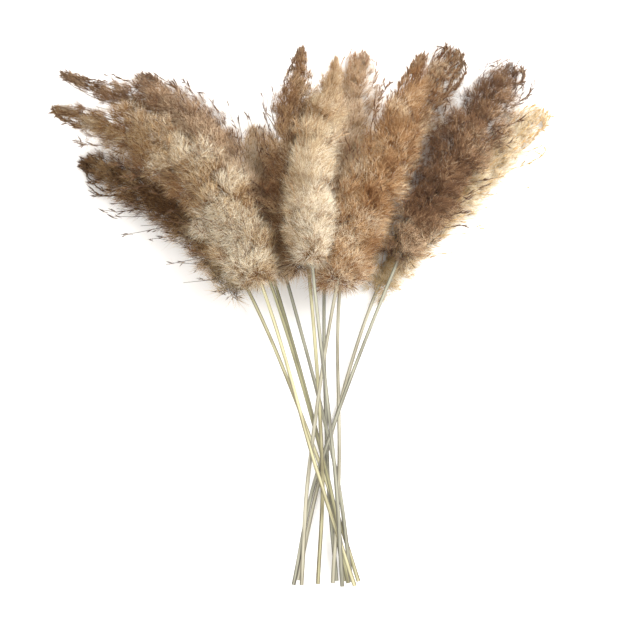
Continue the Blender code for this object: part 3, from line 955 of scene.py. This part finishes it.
def scale_ramp(nodes, root, tip, husk):
    """The colours of the plume's scale: a hair from root to tip, husks, then twigs."""
    ramp = nodes.new("ShaderNodeValToRGB")
    # The very root of a hair is darkened with painted shade.
    stops = (
        (0.0, root * ROOT_PAINTED_SHADE), (ROOT_END, root), (GROWN_IN, (root + 2 * tip) / 3),
        (HAIR_BAND[1], tip), (HUSK_START, husk * HUSK_DARKEST),
        (HUSK_BAND[1], husk * HUSK_LIGHTEST), (TWIG_START, husk), (1.0, husk * TWIG_LIGHTEST),
    )
    while len(ramp.color_ramp.elements) < len(stops):
        ramp.color_ramp.elements.new(1.0)
    for element, (position, colour) in zip(ramp.color_ramp.elements, stops):
        element.position = position
        element.color = (*np.clip(colour, 0, 1), 1.0)
    return ramp


def plume_finish(name, look):
    """Colour from root to tip of a hair, between shaded, middle and light hairs by its tone."""
    material, nodes, links, shader = new_finish(name, HAIR_ROUGHNESS)
    shader.inputs["Specular IOR Level"].default_value = HAIR_GLOSS
    uv = nodes.new("ShaderNodeUVMap")
    uv.uv_map = "OFBake"
    split = nodes.new("ShaderNodeSeparateXYZ")
    links.new(uv.outputs["UV"], split.inputs["Vector"])
    root, shade, middle, light, husk = (np.array(colour) for colour in look[:5])
    colours = []
    for tip in (shade, middle, light):
        ramp = scale_ramp(nodes, root, tip, husk)
        links.new(split.outputs["Y"], ramp.inputs["Fac"])
        colours.append(ramp.outputs["Color"])
    blended = colours[0]
    for low, high, colour in ((0.0, 0.5, colours[1]), (0.5, 1.0, colours[2])):
        amount = nodes.new("ShaderNodeMapRange")
        amount.inputs["From Min"].default_value = low
        amount.inputs["From Max"].default_value = high
        links.new(split.outputs["X"], amount.inputs["Value"])
        mix = nodes.new("ShaderNodeMix")
        mix.data_type = "RGBA"
        links.new(amount.outputs["Result"], mix.inputs["Factor"])
        links.new(blended, mix.inputs[6])
        links.new(colour, mix.inputs[7])
        blended = mix.outputs[2]
    links.new(blended, shader.inputs["Base Color"])
    return material


def worked_out(nodes, links, operation, *values):
    """A value worked out from others, each a number or another node's output."""
    node = nodes.new("ShaderNodeMath")
    node.operation = operation
    for socket, value in zip(node.inputs, values):
        if isinstance(value, float):
            socket.default_value = value
        else:
            links.new(value, socket)
    return node.outputs["Value"]


def straw_grain(nodes, links, where, stretch, detail):
    """One grain that follows the stem: its noise, drawn out along it."""
    mapping = nodes.new("ShaderNodeMapping")
    mapping.inputs["Scale"].default_value = stretch
    links.new(where, mapping.inputs["Vector"])
    noise = nodes.new("ShaderNodeTexNoise")
    noise.inputs["Scale"].default_value = 1.0
    noise.inputs["Detail"].default_value = detail
    links.new(mapping.outputs["Vector"], noise.inputs["Vector"])
    return noise.outputs["Fac"]


def side_shade(nodes, links, where):
    """How much painted shade darkens the straw towards its sides."""
    split = nodes.new("ShaderNodeSeparateXYZ")
    links.new(where, split.inputs["Vector"])
    shade = nodes.new("ShaderNodeMapRange")
    shade.interpolation_type = "SMOOTHSTEP"
    shade.inputs["From Min"].default_value = SIDE_START * STEM_RADIUS_NECK * MM
    shade.inputs["From Max"].default_value = STEM_RADIUS_CUT * MM
    shade.inputs["To Min"].default_value = 0.0
    shade.inputs["To Max"].default_value = SIDE_PAINTED_SHADE
    links.new(worked_out(nodes, links, "ABSOLUTE", split.outputs["X"]), shade.inputs["Value"])
    return shade.outputs["Result"]


def straw_finish(name, straw):
    """Dried straw: fine streaks and slow stains along the stem, painted side shade, a satin skin."""
    material, nodes, links, shader = new_finish(name, STRAW_ROUGHNESS)
    attribute = nodes.new("ShaderNodeAttribute")
    attribute.attribute_name = "along_stem"
    where = attribute.outputs["Vector"]
    fine, broad = (straw_grain(nodes, links, where, *grain) for grain in GRAINS)
    broad_part = worked_out(nodes, links, "MULTIPLY", broad, GRAIN_SHARE)
    grain = worked_out(nodes, links, "MULTIPLY_ADD", fine, GRAIN_SHARE, broad_part)
    # Painted shade darkens the grain towards the stem's sides.
    shaded = worked_out(nodes, links, "SUBTRACT", grain, side_shade(nodes, links, where))
    ramp = nodes.new("ShaderNodeValToRGB")
    for element, position, colour in zip(ramp.color_ramp.elements, GRAIN_ENDS, straw):
        element.position = position
        element.color = (*colour, 1)
    links.new(shaded, ramp.inputs["Fac"])
    links.new(ramp.outputs["Color"], shader.inputs["Base Color"])
    bump = nodes.new("ShaderNodeBump")
    bump.inputs["Strength"].default_value = GRAIN_STRENGTH
    bump.inputs["Distance"].default_value = GRAIN_DEPTH * MM
    links.new(fine, bump.inputs["Height"])
    links.new(bump.outputs["Normal"], shader.inputs["Normal"])
    return material


def select_only(parts, kind, wanted):
    """Selects the edges or faces that are wanted, and nothing else, and enters edit mode."""
    bpy.ops.object.mode_set(mode="EDIT")
    bpy.ops.mesh.select_mode(type=kind)
    bpy.ops.mesh.select_all(action="DESELECT")
    bpy.ops.object.mode_set(mode="OBJECT")
    for part in parts:
        part.select = wanted(part)
    bpy.ops.object.mode_set(mode="EDIT")


def straight_stem():
    """A hollow stem up Z, one unit long and one unit in radius, its cut end at the bottom."""
    deselect()
    bpy.ops.mesh.primitive_cylinder_add(
        vertices=STEM_SIDES, radius=1, depth=1, location=(0, 0, 0.5))
    bpy.ops.object.transform_apply()
    stem = bpy.context.active_object
    mesh = stem.data

    def upright(edge):
        first, second = (mesh.vertices[index].co.z for index in edge.vertices)
        return abs(first - second) > 0.5

    select_only(mesh.edges, "EDGE", upright)
    bpy.ops.mesh.subdivide(number_cuts=STEM_RINGS)
    bpy.ops.object.mode_set(mode="OBJECT")
    select_only(mesh.polygons, "FACE", lambda face: face.normal.z < -0.9)
    bpy.ops.mesh.inset(thickness=STEM_WALL)
    bpy.ops.mesh.extrude_region_move(TRANSFORM_OT_translate={"value": (0, 0, STEM_HOLLOW)})
    bpy.ops.object.mode_set(mode="OBJECT")
    return stem


def bent_stem(number, course, straight):
    """A copy of the straight stem, laid along its reed's course."""
    mesh = straight.data.copy()
    mesh.name = f"reed_{number:02d}_straw"
    item = bpy.data.objects.new(mesh.name, mesh)
    bpy.context.scene.collection.objects.link(item)
    own = np.empty(len(mesh.vertices) * 3, dtype=np.float32)
    mesh.vertices.foreach_get("co", own)
    own = own.reshape(-1, 3).astype(float)
    index = own[:, 2] * course.neck
    radius = STEM_RADIUS_CUT + (STEM_RADIUS_NECK - STEM_RADIUS_CUT) * own[:, 2]
    points = (sampled(course.centre, index)
              + sampled(course.across, index) * (own[:, 0] * radius)[:, None]
              + sampled(course.up, index) * (own[:, 1] * radius)[:, None])
    mesh.vertices.foreach_set("co", (points * MM).astype(np.float32).ravel())
    along = index + STEM_GRAIN_APART * number
    grain_place = np.column_stack([own[:, :2] * radius[:, None], along]) * MM
    layer = mesh.attributes.new("along_stem", "FLOAT_VECTOR", "POINT")
    layer.data.foreach_set("vector", grain_place.astype(np.float32).ravel())
    mesh.update()
    deselect()
    item.select_set(True)
    bpy.context.view_layer.objects.active = item
    bpy.ops.object.mode_set(mode="EDIT")
    bpy.ops.mesh.select_all(action="SELECT")
    bpy.ops.mesh.normals_make_consistent(inside=False)
    bpy.ops.object.mode_set(mode="OBJECT")
    bpy.ops.object.shade_smooth_by_angle(angle=STEM_EDGE)
    return item


def make_reeds():
    """Every reed's plume of hairs and its straw stem, from the lowest reed to the topmost."""
    hair, husk = hair_shape(), husk_shape()
    straight = straight_stem()
    for number, reed in enumerate(REEDS, start=1):
        course = follow_reed(number, reed)
        above = [f"reed_{other:02d}_plume" for other in range(number + 1, len(REEDS) + 1)]
        cover = node_tree(*above) if above else None
        shape = plume_shape(reed.look, course, cover, hair, husk)
        plume = mesh_object(f"reed_{number:02d}_hairs", shape)
        plume.data.materials.append(plume_finish(f"reed_{number:02d}_hairs", reed.look))
        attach(plume, "root")
        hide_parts(f"reed_{number:02d}_plume")
        stem = bent_stem(number, course, straight)
        stem.data.materials.append(straw_finish(f"reed_{number:02d}_straw", reed.straw))
        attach(stem, "root")
        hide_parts(f"reed_{number:02d}_stem")
    bpy.data.objects.remove(straight, do_unlink=True)


def make_floor():
    bpy.ops.mesh.primitive_plane_add(size=FLOOR_SIZE, location=(0, 0, 0))
    floor = bpy.context.active_object
    floor.name = "floor"
    material, _, _, shader = new_finish("floor", FLOOR_ROUGHNESS)
    shader.inputs["Base Color"].default_value = FLOOR_COLOUR
    floor.data.materials.append(material)


def make_lights():
    """Soft light from all round, and the lamps."""
    world = bpy.data.worlds.new("studio")
    bpy.context.scene.world = world
    world.use_nodes = True
    world.node_tree.nodes["Background"].inputs["Color"].default_value = ROOM_COLOUR
    world.node_tree.nodes["Background"].inputs["Strength"].default_value = ROOM_LIGHT
    bpy.context.scene.view_settings.view_transform = "Standard"
    for lamp in LAMPS:
        light = bpy.data.lights.new(lamp.name, "AREA")
        light.energy = lamp.power
        light.color = LAMP_COLOUR
        light.size = lamp.size
        item = bpy.data.objects.new(lamp.name, light)
        item.location = lamp.place
        item.rotation_euler = (-Vector(lamp.place)).to_track_quat("-Z", "Y").to_euler()
        bpy.context.scene.collection.objects.link(item)


def make_camera():
    """A camera that looks straight down on the bunch."""
    camera = bpy.data.cameras.new("camera")
    camera.lens = CAMERA_LENS
    camera.sensor_width = CAMERA_SENSOR
    item = bpy.data.objects.new("camera", camera)
    item.location = CAMERA_PLACE
    bpy.context.scene.collection.objects.link(item)
    bpy.context.scene.camera = item


make_floor()
make_lights()
make_camera()
make_reeds()
